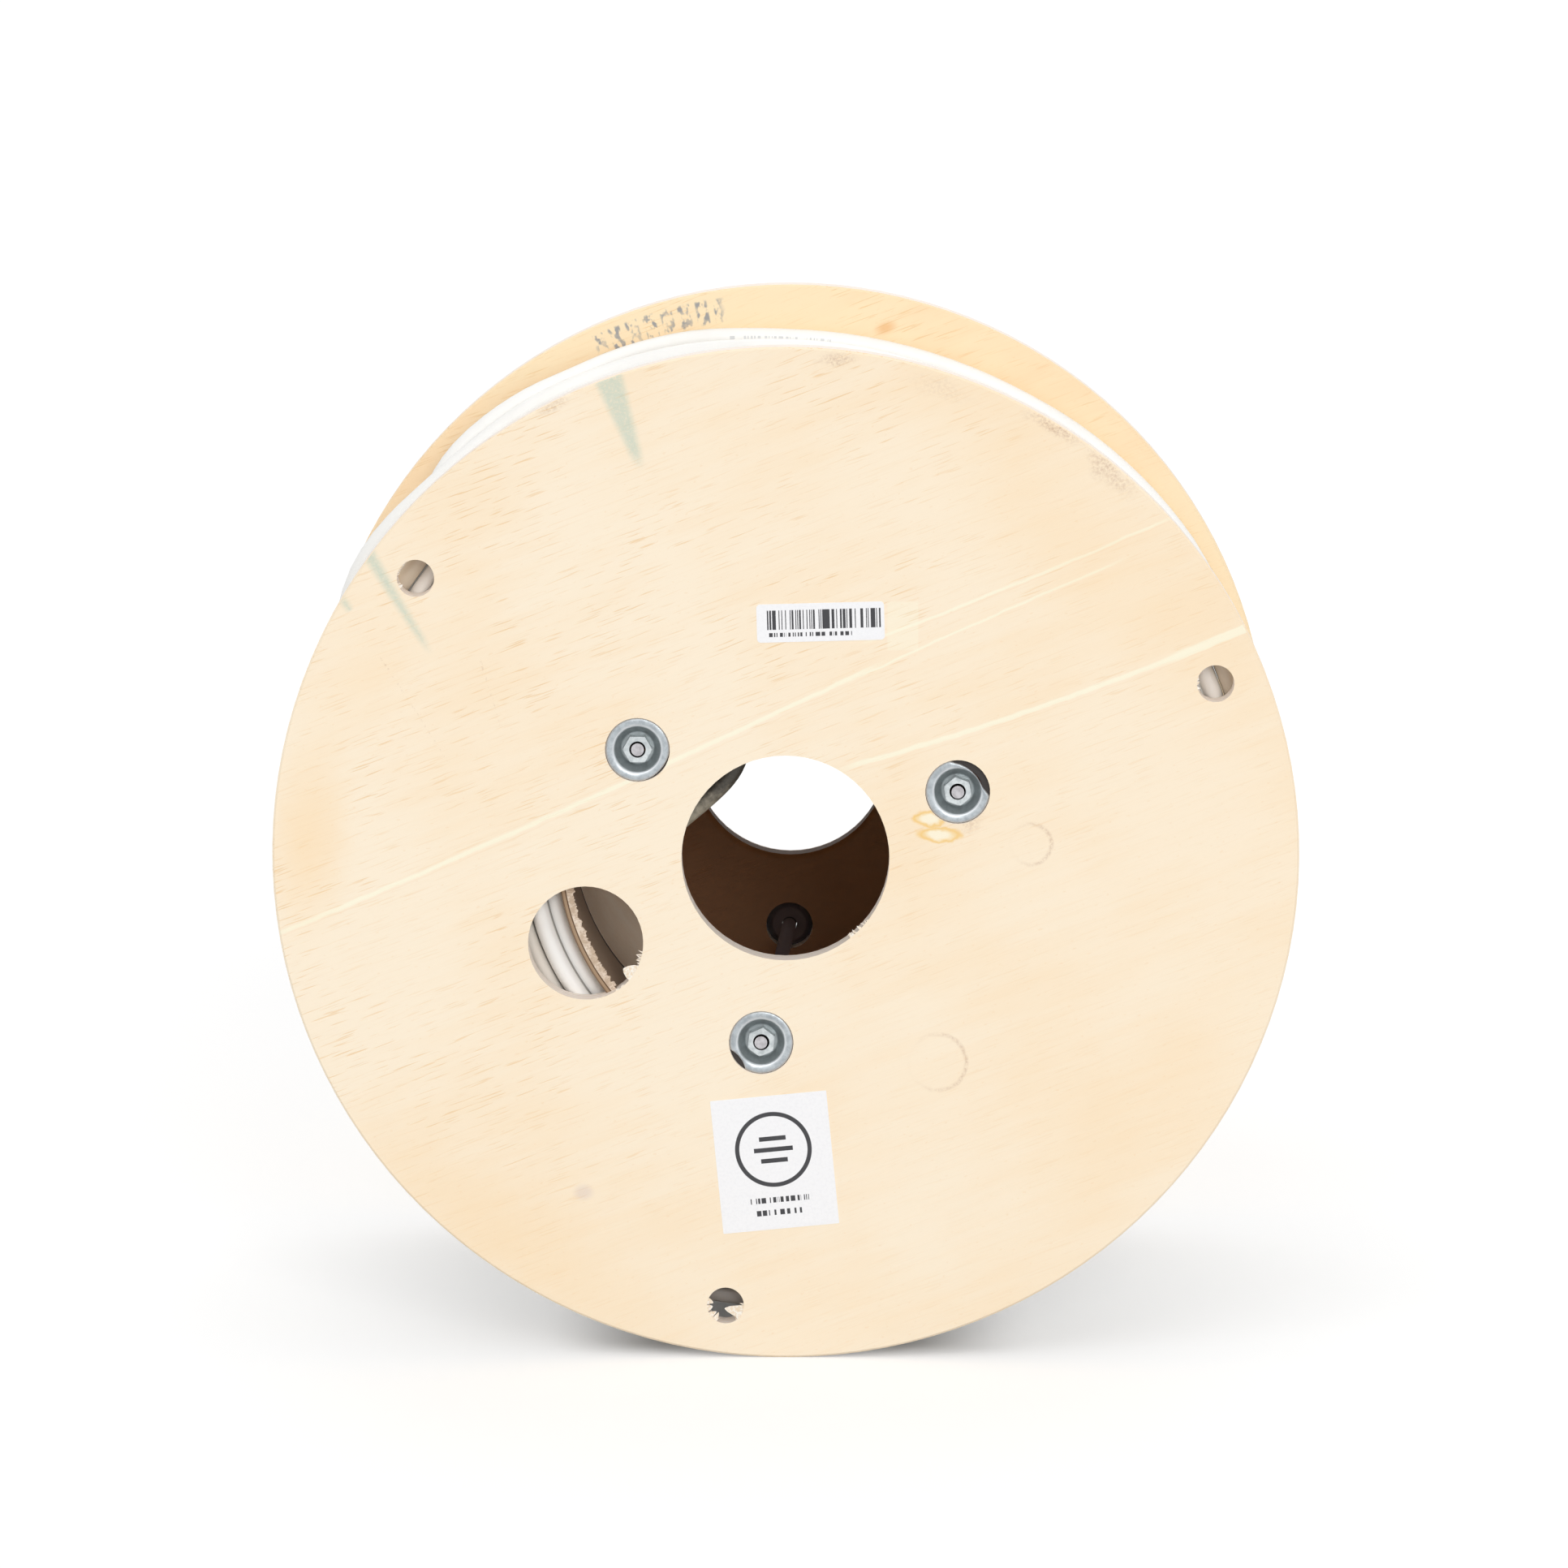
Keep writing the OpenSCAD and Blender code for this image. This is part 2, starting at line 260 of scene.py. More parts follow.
class Graph:
    """Short calls for the nodes of one material. Places are the object's own, in millimetres."""

    def __init__(self, name, roughness, metallic=0.0):
        self.material = bpy.data.materials.new(name)
        self.material.use_nodes = True
        self.tree = self.material.node_tree
        self.shader = self.tree.nodes["Principled BSDF"]
        self.feed("Roughness", roughness)
        self.feed("Metallic", metallic)
        source = self.node("TexCoord")
        self.place = self.scaled(source.outputs["Object"], 1 / MM)
        self.x, self.y, self.z = self.split(self.place)
        self.uv = source.outputs["UV"]
        self.facing = self.split(source.outputs["Normal"])[1]

    def put(self, socket, value):
        """Links a socket to another one, or sets its value."""
        if isinstance(value, bpy.types.NodeSocket):
            self.tree.links.new(value, socket)
        else:
            socket.default_value = value

    def feed(self, name, value):
        """Sets or links an input of the shader."""
        self.put(self.shader.inputs[name], value)

    def node(self, kind, inputs=None, **settings):
        made = self.tree.nodes.new("ShaderNode" + kind)
        for key, value in settings.items():
            setattr(made, key, value)
        for key, value in (inputs or {}).items():
            self.put(made.inputs[key], value)
        return made

    def math(self, operation, *values):
        return self.node("Math", dict(enumerate(values)), operation=operation).outputs[0]

    def scale_add(self, value, factor, plus):
        """A value times a factor, plus a third value."""
        return self.math("MULTIPLY_ADD", value, factor, plus)

    def times(self, *values):
        product = values[0]
        for value in values[1:]:
            product = self.math("MULTIPLY", product, value)
        return product

    def split(self, vector):
        return self.node("SeparateXYZ", {0: vector}).outputs[:3]

    def hypot(self, a, b):
        return self.math("SQRT", self.scale_add(a, a, self.times(b, b)))

    def radius(self):
        """Distance from the reel's axis."""
        return self.hypot(self.x, self.z)

    def join(self, x, y, z=0.0):
        return self.node("CombineXYZ", {0: x, 1: y, 2: z}).outputs[0]

    def scaled(self, vector, factor):
        return self.node("VectorMath", {0: vector, "Scale": factor}, operation="SCALE").outputs[0]

    def line(self, x_part, z_part, constant, at=None):
        """x_part times x plus z_part times z plus a constant; at is a shifted x and z."""
        x, z = at or (self.x, self.z)
        return self.scale_add(x, x_part, self.scale_add(z, z_part, constant))

    def noise(self, vector, size, detail=2.0, roughness=0.5):
        inputs = {"Vector": vector, "Scale": 1 / size, "Detail": detail, "Roughness": roughness}
        return self.node("TexNoise", inputs).outputs[0]

    def cells(self, value, size, seed):
        """A random value for each cell of a size along a value."""
        cell = self.math("FLOOR", self.times(value, 1 / size))
        return self.node("TexWhiteNoise", {"Vector": self.join(cell, seed)}).outputs["Value"]

    def step(self, value, low, high):
        """0 at low, 1 at high and smooth between; low may be the larger one."""
        inputs = {"Value": value, "From Min": low, "From Max": high}
        return self.node("MapRange", inputs, interpolation_type="SMOOTHSTEP").outputs["Result"]

    def near(self, value, middle, half, soft):
        """1 within half of the middle, falling to 0 over soft."""
        return self.step(self.math("ABSOLUTE", self.math("SUBTRACT", value, middle)), half + soft, half)

    def repeat(self, value, pitch, half, soft):
        """1 within half of the middle of each pitch, falling to 0 over soft."""
        return self.near(self.math("WRAP", value, pitch, 0.0), pitch / 2, half, soft)

    def mix(self, factor, first, second):
        """A mix of two colours, which are the node's sockets 6 and 7 and its output 2."""
        return self.node("Mix", {0: factor, 6: first, 7: second}, data_type="RGBA").outputs[2]

    def spot(self, middle, radius, soft, stretch=1.0, turn=0.0, at=None):
        """1 inside an ellipse whose first axis is stretch times its second one."""
        c, s = unit(turn)
        along = self.line(c / stretch, s / stretch, -(middle[0] * c + middle[1] * s) / stretch, at)
        across = self.line(-s, c, middle[0] * s - middle[1] * c, at)
        return self.step(self.hypot(along, across), radius + soft, radius - soft)

    def ring(self, middle, radius, width, soft, at):
        outer = self.spot(middle, radius + width / 2, soft, at=at)
        return self.math("SUBTRACT", outer, self.spot(middle, radius - width / 2, soft, at=at))

    def streak(self, start, end, start_width, end_width, soft, at):
        """1 along a tapered stroke."""
        dx, dz = end[0] - start[0], end[1] - start[1]
        length = math.hypot(dx, dz)
        dx, dz = dx / length, dz / length
        along = self.line(dx / length, dz / length, -(start[0] * dx + start[1] * dz) / length, at)
        across = self.math("ABSOLUTE", self.line(-dz, dx, start[0] * dz - start[1] * dx, at))
        half = self.scale_add(along, (end_width - start_width) / 2, start_width / 2)
        inside = self.step(self.math("SUBTRACT", across, half), soft, -soft)
        ends = self.times(self.step(along, -soft / length, soft / length), self.step(along, 1.05, 0.8))
        return self.times(inside, ends)

    def curve_stripe(self, stripe, soft, at):
        """1 along a shallow curve z = rise + slope x + bend x squared."""
        rise, slope, bend, half, first, last = stripe
        x, z = at
        off = self.math("SUBTRACT", z, self.scale_add(self.scale_add(x, bend, slope), x, rise))
        inside = self.step(self.math("ABSOLUTE", off), half + soft, max(0.0, half - soft))
        starts = self.step(x, first - STRIPE_FADE, first + STRIPE_FADE)
        return self.times(inside, starts, self.step(x, last + STRIPE_FADE, last - STRIPE_FADE))

    def bump(self, height, distance):
        self.feed("Normal", self.node("Bump", {"Height": height, "Distance": distance * MM}).outputs[0])

    def paint(self, colour):
        self.feed("Base Color", colour)
        return self.material


# Wood
WOOD_PALE = tone(254, 239, 215)
WOOD_WARM = tone(253, 231, 199)
WOOD_DASH = tone(238, 194, 132)
WOOD_FILL = tone(255, 250, 226)
WOOD_EDGE_PALE = tone(254, 249, 244)
WOOD_EDGE_DARK = tone(248, 232, 216)
WOOD_REAR = tone(253, 221, 180)
WOOD_REAR_PALE = tone(253, 232, 194)
# Painted shade, dark brown, on the flanges' inner faces inside the drum
DRUM_INSIDE_SHADE = tone(119, 66, 16)
# Painted shade, dark brown, on the wall of the rear flange's bore
BORE_PAINTED_SHADE = tone(60, 34, 18)
# Painted shade, near black, on the floors of the rod seats beside the brims
SEAT_PAINTED_SHADE = tone(52, 46, 44)
ORANGE_TINT = tone(252, 214, 158)
DIRT = tone(184, 146, 120)
GREEN_INK = tone(198, 212, 196)
GLUE = tone(246, 202, 112)
GLUE_PALE = tone(255, 246, 222)
VIOLET_SPOT = tone(205, 190, 196)
BLUE_INK = tone(120, 132, 148)
KNOT = tone(236, 172, 96)
# Share of the painted shade on the rear bore's wall
REAR_BORE_SHADE = 0.92
GRAIN_TILT = 21
# Sizes along and across the grain
FIGURE = (70, 7)
STROKE = (15, 0.7)
FIBRE = (26, 1.1)
SPECK = (2.4, 1.2)

# Marks on the front face. Stripes and cracks: rise, slope, bend, half width, first and last x
STRIPE_FADE = 8
FRONT_STRIPES = (
    (59.0, 0.478, 0.000134, 0.9, -200, 34),
    (73.69, 0.3535, 0.000353, 0.55, 34, 148),
    (29.58, 0.2572, 0.000487, 1.0, 24, 160),
    (29.58, 0.2572, 0.000487, 1.8, 150, 205),
    (57.9, 0.486, -0.000236, 0.5, 26, 128),
)
FRONT_CRACKS = (
    (56.3, 0.472, 0.000134, 0.22, -196, 34),
    (61.4, 0.483, 0.000134, 0.18, -150, 34),
    (72.6, 0.3535, 0.000353, 0.2, 40, 148),
    (26.6, 0.262, 0.000487, 0.2, 26, 205),
)
# Strokes: start, end, first and last width
INK_STREAKS = (
    ((-69.0, 190), (-55.8, 153), 11.0, 2.6),
    ((-162, 120.5), (-138, 81), 4.5, 1.5),
    ((-171.5, 101.5), (-168.5, 97), 2.6, 1.2),
)
SCRATCHES = (((-157, 79), (-128, 33), 0.5, 0.2), ((-118.5, 78.6), (-110.6, 51.6), 0.5, 0.2))
# Spots: middle, radius, stretch, turn, and a strength where it differs
GLUE_BLOBS = (((55.9, 15.6), 3.2, 2.0, -8), ((59.7, 9.4), 2.9, 2.9, -4))
GLUE_RIM = 1.1
# Smudges of dirt; the last one, at the lower right of the right-hand washer, is a painted shadow
SMUDGES_AND_WASHER_SHADOW = (
    ((104, 169), 2.6, 3.4, -32, 0.6), ((125, 152), 3.6, 2.6, -42, 0.5), ((19.6, 195), 2.2, 2.4, 0, 0.5),
    ((60, 184), 3.4, 3.0, -18, 0.15), ((-90, 177), 2.0, 2.6, 28, 0.35), ((72, 14.5), 3.2, 1.6, 40, 0.35),
)
TINTS = (
    ((-186, 8), 12, 2.2, 85, 0.4), ((-100, -160), 18, 3.0, -32, 0.3), ((-166, 70), 12, 2.0, 60, 0.15),
    ((-110, 25), 12, 2.0, 20, 0.1), ((150, -90), 18, 2.0, 55, 0.12), ((110, 130), 24, 2.0, -45, 0.16),
)
VIOLET_PLACE = (-79.3, -133.4)
# Rings: middle, radius
DIRT_RINGS = (((59.5, -81), 11.2), ((95.5, 5.6), 8.0))
# Pale patch beside the bar label: middle, half width, half height
FILL_PATCH = ((45.5, 91.5), 5.5, 9.0)

# Marks on the inner face of the rear flange: a smeared stamp along a circle, and a knot
STAMP_ANGLE = 106.7
STAMP_HALF_SPAN = 7.6
STAMP_R = 191.5
STAMP_HALF_HEIGHT = 4.2
STAMP_ARC_R = 191.0
STAMP_PITCH = 7.4
KNOT_PLACE = (39.5, 182)


def grain(g, pale, warm, dash):
    """Veneer: a broad figure, thin slanting strokes that crowd at the upper left, and faint specks."""
    c, s = unit(GRAIN_TILT)
    along, across = g.line(c, s, 0.0), g.line(-s, c, 0.0)
    side = g.times(g.y, 3.0)

    def fibres(size, detail):
        stretched = g.join(g.times(along, 1 / size[0]), g.times(across, 1 / size[1]), side)
        return g.noise(stretched, 1.0, detail)

    figure = fibres(FIGURE, 3.0)
    cloud = g.noise(g.join(g.x, g.z, side), 75.0, 2.0)
    warmth = g.step(g.scale_add(cloud, 0.75, g.times(figure, 0.35)), 0.42, 0.78)
    warmth = g.scale_add(g.step(g.line(0.8, 0.4, 0.0), -60.0, 180.0), 0.25, g.times(warmth, 0.8))
    colour = g.mix(warmth, pale, warm)
    strokes = fibres(STROKE, 1.0)
    patch = g.step(g.noise(g.join(g.x, g.z, g.math("ADD", side, 40.0)), 34.0, 2.0), 0.36, 0.62)
    crowd = g.scale_add(g.step(g.line(-0.75, 0.66, 0.0), -110.0, 60.0), 0.65, 0.2)
    strong = g.times(g.step(strokes, 0.6, 0.7), g.scale_add(patch, 0.75, 0.25), crowd)
    fine = fibres(FIBRE, 2.0)
    speck = fibres(SPECK, 1.0)
    colour = g.mix(g.times(strong, 0.65), colour, dash)
    colour = g.mix(g.times(g.step(fine, 0.5, 0.8), 0.08), colour, dash)
    colour = g.mix(g.times(g.step(speck, 0.68, 0.76), 0.16), colour, dash)
    return colour, g.math("SUBTRACT", fine, strong)


def ply_edge(g, depth):
    """Plies on a cut edge: tone by depth below the outer face, with glue lines between."""
    fray = g.noise(g.place, 1.6, 2.0)
    layer = g.math("PINGPONG", g.scale_add(fray, 0.35, depth), PLY)
    colour = g.mix(g.step(layer, 0.35 * PLY, 0.65 * PLY), WOOD_EDGE_PALE, WOOD_EDGE_DARK)
    glue_line = g.repeat(depth, PLY, 0.05, 0.06)
    return g.mix(g.times(glue_line, 0.3), colour, WOOD_DASH)


def plywood(name, sign, pale, warm, marks, bore_shade=0.0):
    """Material of one flange: veneer faces with their marks, ply edges, painted shade inside the drum, on
    the rod seats and on the bore.
    """
    g = Graph(name, 0.62)
    face, relief = grain(g, pale, warm, WOOD_DASH)
    depth = g.scale_add(g.y, -sign, OUTER_FACE)
    face = marks(g, face)
    radius = g.radius()
    # Painted shade on the inner faces inside the drum
    inside = g.times(g.step(radius, DRUM_R, DRUM_R - DRUM_WALL), g.step(depth, 9.0, 9.6))
    face = g.mix(g.times(inside, 0.9), face, DRUM_INSIDE_SHADE)
    # Painted shade on the floors of the rod seats
    seat_shade = g.times(g.step(depth, 1.2, 1.6), g.step(depth, 6.0, 4.0))
    face = g.mix(seat_shade, face, SEAT_PAINTED_SHADE)
    flat = g.step(g.math("ABSOLUTE", g.facing), 0.5, 0.66)
    edge = ply_edge(g, depth)
    # Painted shade on the bore's wall, which also loses its sheen
    if bore_shade:
        throat = g.times(g.step(radius, BORE_R + 3, BORE_R + 1), g.step(depth, 0.6, 1.4))
        shaded_wall = g.times(throat, bore_shade)
        edge = g.mix(shaded_wall, edge, BORE_PAINTED_SHADE)
        g.feed("Specular IOR Level", g.scale_add(shaded_wall, -0.5, 0.5))
    g.bump(relief, 0.05)
    return g.paint(g.mix(flat, edge, face))


def front_marks(g, colour):
    """Filled cracks, ink, glue, dirt, rings and a painted shadow below a washer on the front face."""
    front = g.step(g.y, -OUTER_FACE + 0.6, -OUTER_FACE + 0.3)
    ragged = g.join(g.x, g.z)
    wave = g.math("SUBTRACT", g.noise(ragged, 9.0, 3.0), 0.5)
    bent = g.scale_add(wave, 1.2, g.x), g.scale_add(wave, -1.2, g.z)
    rough = g.scale_add(wave, 9.0, g.x), g.scale_add(wave, 7.0, g.z)
    blotch = g.noise(ragged, 1.3, 4.0, 0.7)

    def lay(colour, mask, strength, paint):
        return g.mix(g.times(mask, front, strength), colour, paint)

    for stripe in FRONT_STRIPES:
        colour = lay(colour, g.curve_stripe(stripe, 0.5, bent), 0.8, WOOD_FILL)
    for crack in FRONT_CRACKS:
        colour = lay(colour, g.curve_stripe(crack, 0.25, bent), 0.1, WOOD_DASH)
    for stroke in INK_STREAKS:
        mask = g.times(g.streak(*stroke, 1.8, bent), g.step(blotch, 0.05, 0.6))
        colour = lay(colour, mask, 0.75, GREEN_INK)
    for stroke in SCRATCHES:
        mask = g.times(g.streak(*stroke, 0.5, bent), g.step(blotch, 0.52, 0.64))
        colour = lay(colour, mask, 0.4, DIRT)
    ripple = g.math("SUBTRACT", g.noise(ragged, 3.2, 3.0), 0.5)
    uneven = (g.scale_add(ripple, 3.0, g.scale_add(wave, 3.5, g.x)),
              g.scale_add(ripple, -2.4, g.scale_add(wave, 3.5, g.z)))
    for middle, radius, stretch, turn in GLUE_BLOBS:
        outer = g.spot(middle, radius, 0.5, stretch, turn, uneven)
        inner = g.spot(middle, radius - GLUE_RIM, 0.8, stretch, turn, uneven)
        colour = lay(colour, outer, 0.8, GLUE)
        colour = lay(colour, inner, 0.95, GLUE_PALE)
    for middle, radius in DIRT_RINGS:
        side = g.scale_add(g.step(g.x, middle[0] - radius, middle[0] + radius), 0.95, 0.05)
        ring = g.times(g.ring(middle, radius, 1.3, 0.7, bent), g.step(blotch, 0.3, 0.65), side)
        colour = lay(colour, ring, 0.45, DIRT)
    # Smudges of dirt, and a painted shadow below the right-hand washer
    for middle, radius, stretch, turn, strength in SMUDGES_AND_WASHER_SHADOW:
        smudge_and_shadow = g.spot(middle, radius, radius * 0.8, stretch, turn, rough)
        colour = lay(colour, g.times(smudge_and_shadow, g.step(blotch, 0.36, 0.66)), strength, DIRT)
    colour = lay(colour, g.spot(VIOLET_PLACE, 2.8, 1.6, 1.2, 0, bent), 0.3, VIOLET_SPOT)
    for middle, radius, stretch, turn, strength in TINTS:
        tint = g.spot(middle, radius, radius * 0.9, stretch, turn, rough)
        colour = lay(colour, tint, strength, ORANGE_TINT)
    middle, half_width, half_height = FILL_PATCH
    patch = g.times(g.near(g.x, middle[0], half_width, 1.0), g.near(g.z, middle[1], half_height, 1.0))
    return lay(colour, patch, 0.35, WOOD_FILL)


def rear_marks(g, colour):
    """Smeared ink and a knot on the inner face of the rear flange."""
    inner = g.step(g.y, INNER_FACE + 0.6, INNER_FACE + 0.3)
    ragged = g.join(g.x, g.z)
    angle = g.math("ARCTAN2", g.z, g.x)
    radius = g.radius()
    along = g.times(angle, STAMP_ARC_R)
    span = g.near(angle, math.radians(STAMP_ANGLE), math.radians(STAMP_HALF_SPAN), 0.02)
    zone = g.times(span, g.near(radius, STAMP_R, STAMP_HALF_HEIGHT, 1.4))
    block = g.repeat(along, STAMP_PITCH, 2.1, 0.8)
    strokes = g.noise(g.join(g.times(along, 1 / 2.1), g.times(radius, 1 / 3.4)), 1.0, 1.5)
    faded = g.step(g.noise(ragged, 5.0, 3.0), 0.3, 0.6)
    ink = g.times(zone, block, g.step(strokes, 0.47, 0.6), g.scale_add(faded, 0.5, 0.3))
    colour = g.mix(g.times(ink, inner), colour, BLUE_INK)
    knot = g.spot(KNOT_PLACE, 2.0, 1.6, 1.8, 20)
    return g.mix(g.times(knot, inner, 0.6), colour, KNOT)


# Cable
JACKET = tone(251, 250, 247)
JACKET_GRIME = tone(230, 226, 218)
JACKET_INK = tone(150, 156, 168)
GROOVE_SHADE = tone(66, 56, 44)
TICK = 0.55
LETTER = 2.9


def cable_jacket(print_from):
    """White jacket with a faint row of printed ticks along it, and painted shade on the front end turns."""
    g = Graph("cable_jacket", 0.42)
    u, v, _ = g.split(g.uv)
    along = g.math("SUBTRACT", g.times(u, 1 / MM), print_from)
    grime = g.noise(g.place, 26.0, 4.0)
    colour = g.mix(g.times(g.step(grime, 0.45, 0.75), 0.16), JACKET, JACKET_GRIME)
    tick = g.cells(along, TICK, 3.0)
    letter = g.repeat(along, LETTER, 0.95, 0.15)
    high = g.repeat(g.math("ADD", v, 0.5), 1.0, 0.036, 0.006)
    inside = g.times(g.step(along, 0.0, 1.0), g.step(along, PRINT_LENGTH, PRINT_LENGTH - 1))
    ink = g.times(g.step(tick, 0.42, 0.44), letter, high, inside)
    colour = g.mix(g.times(ink, 0.4), colour, JACKET_INK)
    g.bump(g.noise(g.place, 3.0, 3.0), 0.06)
    return g.paint(painted_shade_on_end_turns(g, colour, grime))


def painted_shade_on_end_turns(g, colour, grime):
    """Painted shade on the turns at the front end that lie in shadow, darkest in the grooves and under the
    reel.
    """
    radius = g.radius()
    leaning = g.line(*END_LEAN, 0.0)
    turn_r = g.math("SUBTRACT", radius, g.math("DIVIDE", leaning, radius))
    front = g.step(g.y, *END_SHADE_Y)
    outward = g.times(front, g.step(g.facing, 0.0, -0.5))
    shade_strength = g.times(outward, g.scale_add(grime, 0.6, 0.6))
    # Painted shade on the turns seen in shadow through the holes
    for place, low, painted_shade in (
        (radius, SECOND_GROOVE, tone(228, 220, 209)),
        (turn_r, OUTER_TURNS, tone(240, 236, 230)),
        (turn_r, LAST_GROOVE, tone(206, 190, 168)),
    ):
        colour = g.mix(g.times(g.step(place, low - 0.2, low + 0.2), shade_strength), colour, painted_shade)
    # Painted shade on the turns low under the reel
    colour = g.mix(g.times(g.step(g.z, *SHADE_Z), outward), colour, tone(150, 146, 143))
    # Painted shade in the grooves between turns
    for place, groove, strength in (
        (radius, INNER_GROOVE, 0.6), (radius, SECOND_GROOVE, 0.7), (turn_r, LAST_GROOVE, 0.9),
    ):
        colour = g.mix(g.times(g.near(place, groove, 0.12, 0.28), front, strength), colour, GROOVE_SHADE)
    return colour


def cable_cut_material():
    """Cut end of the cable: specks of copper in dark foil."""
    g = Graph("cable_cut", 0.5)
    speck = g.noise(g.place, 1.4, 2.0)
    return g.paint(g.mix(g.step(speck, 0.4, 0.6), tone(52, 46, 42), tone(150, 104, 70)))


def shaded_cable_end_material():
    """The inner end of the jacket with painted shade: greyed, and darker towards its tip."""
    g = Graph("cable_end_painted_shade", 0.5)
    # Painted shade: the white jacket greyed, most towards the tip
    painted_shade = g.scale_add(g.noise(g.place, 2.6, 4.0, 0.65), 0.9, g.step(g.z, 6.0, 38.0))
    return g.paint(g.mix(g.step(painted_shade, 0.25, 1.25), tone(192, 183, 163), tone(70, 66, 58)))


def drum_board():
    """Wound board: plain walls with a butt joint, painted shade on the wall in front of the joint, and torn
    fibrous ends.
    """
    g = Graph("drum_board", 0.8)
    radius = g.radius()
    fibre = g.noise(g.join(g.x, g.times(g.y, 3.0), g.z), 2.2, 4.0, 0.65)
    broad = g.noise(g.place, 30.0, 2.0)
    figure = g.scale_add(fibre, 0.5, g.times(broad, 0.5))
    wall = g.mix(g.step(figure, 0.35, 0.65), tone(246, 224, 199), tone(254, 238, 217))
    # Painted shade: the wall in front of the joint darker
    near_end = g.step(g.y, DRUM_SEAM_Y + 0.5, DRUM_SEAM_Y - 0.5)
    wall = g.mix(g.times(near_end, 0.9), wall, tone(158, 132, 108))
    wall = g.mix(g.near(g.y, DRUM_SEAM_Y, 1.3, 0.5), wall, tone(30, 22, 16))
    middle = DRUM_R - DRUM_WALL * 0.45
    end = g.mix(g.step(fibre, 0.4, 0.62), tone(202, 179, 155), tone(236, 219, 201))
    end = g.mix(g.step(radius, middle, middle + 0.3), end, tone(170, 143, 115))
    end = g.mix(g.near(radius, middle, 0.18, 0.15), end, tone(100, 76, 54))
    end = g.mix(g.step(radius, DRUM_R - 0.7, DRUM_R - 0.3), end, tone(120, 95, 72))
    flat = g.step(g.math("ABSOLUTE", g.facing), 0.6, 0.9)
    g.bump(fibre, 0.25)
    return g.paint(g.mix(flat, wall, end))


ZINC_METALLIC = 0.7


def zinc(name, pale, dull, deep):
    """Zinc-plated steel with oily grime below the flange's face, matt and brownish inside the drum; faces
    turned inwards get painted shade, dark and matt.
    """
    g = Graph(name, 0.4, ZINC_METALLIC)
    depth = g.math("SUBTRACT", OUTER_FACE, g.math("ABSOLUTE", g.y))
    mottle = g.noise(g.place, 2.4, 4.0, 0.6)
    spangle = g.noise(g.place, 0.7, 2.0)
    rings = g.noise(g.join(g.times(depth, 1 / 0.4), 0.0), 1.0, 2.0)
    colour = g.mix(g.step(mottle, 0.35, 0.68), pale, dull)
    colour = g.mix(g.times(g.step(spangle, 0.56, 0.72), 0.3), colour, tone(140, 145, 150))
    uneven = g.scale_add(rings, 0.35, g.times(mottle, 0.25))
    grime = g.times(g.step(depth, 1.1, 2.6), g.math("ADD", uneven, deep))
    colour = g.mix(grime, colour, tone(168, 174, 173))
    # Painted shade, dark and matt, on faces turned inwards, towards the middle of the reel
    inward_shade = g.step(g.times(g.facing, g.math("SIGN", g.y)), -0.2, -0.6)
    colour = g.mix(inward_shade, colour, tone(92, 80, 82))
    inside = g.step(depth, 9.0, 12.0)
    colour = g.mix(g.times(inside, g.math("SUBTRACT", 1.0, inward_shade)), colour, tone(166, 146, 138))
    bright = g.math("SUBTRACT", 1.0, g.math("MAXIMUM", inward_shade, inside))
    g.feed("Metallic", g.times(bright, ZINC_METALLIC))
    matt = g.scale_add(mottle, 0.22, 0.65)
    g.feed("Roughness", g.scale_add(bright, -0.35, matt))
    g.bump(spangle, 0.03)
    return g, depth, colour


def washer_zinc_with_highlight():
    """Washers, with a painted highlight: a pale ring on the shoulder between brim and cup."""
    g, depth, colour = zinc("washer_zinc_with_highlight", tone(186, 193, 197), tone(160, 167, 172), 0.2)
    # Painted highlight on the shoulder between brim and cup
    return g.paint(g.mix(g.near(depth, 1.35, 0.25, 0.4), colour, tone(228, 232, 235)))


def nut_zinc():
    """Nuts, paler and cleaner than the washers."""
    g, _, colour = zinc("nut_zinc", tone(212, 218, 219), tone(182, 189, 191), 0.0)
    return g.paint(colour)


def rod_zinc():
    """Rods: dull sawn ends, and painted shade, near black, on the thread from just below the ends into the
    flange.
    """
    g, depth, colour = zinc("rod_zinc", tone(200, 198, 201), tone(174, 171, 174), 0.0)
    # Painted shade, near black, on the thread in the gaps of the nuts and cups
    thread_shade = g.times(g.step(depth, 0.55, 0.8), g.step(depth, 9.0, 7.0))
    return g.paint(g.mix(thread_shade, colour, tone(38, 36, 36)))


def splinter_wood():
    """Pale torn fibres of veneer."""
    g = Graph("torn_veneer", 0.7)
    fibre = g.noise(g.place, 0.8, 3.0)
    return g.paint(g.mix(g.step(fibre, 0.35, 0.65), tone(254, 248, 238), tone(240, 221, 194)))


PAPER = tone(250, 250, 252)
PAPER_SHADE = tone(240, 240, 243)
LABEL_INK = tone(58, 58, 62)
DASH = 0.42
WORD = 2.3
BAR = 0.36


def paper(g):
    """Faintly fibrous white paper."""
    fibre = g.noise(g.place, 1.2, 3.0)
    return g.mix(g.times(g.step(fibre, 0.4, 0.7), 0.4), PAPER, PAPER_SHADE)


def dashed_line(g, u, v, level, half_height, half_width, seed, middle=0.0):
    """A row of short dashes that stands for a line of words."""
    value = g.cells(u, DASH, seed)
    word = g.repeat(u, WORD, 0.86, 0.08)
    row = g.near(v, level, half_height, 0.1)
    return g.times(g.step(value, 0.33, 0.36), word, row, g.near(u, middle, half_width, 0.1))


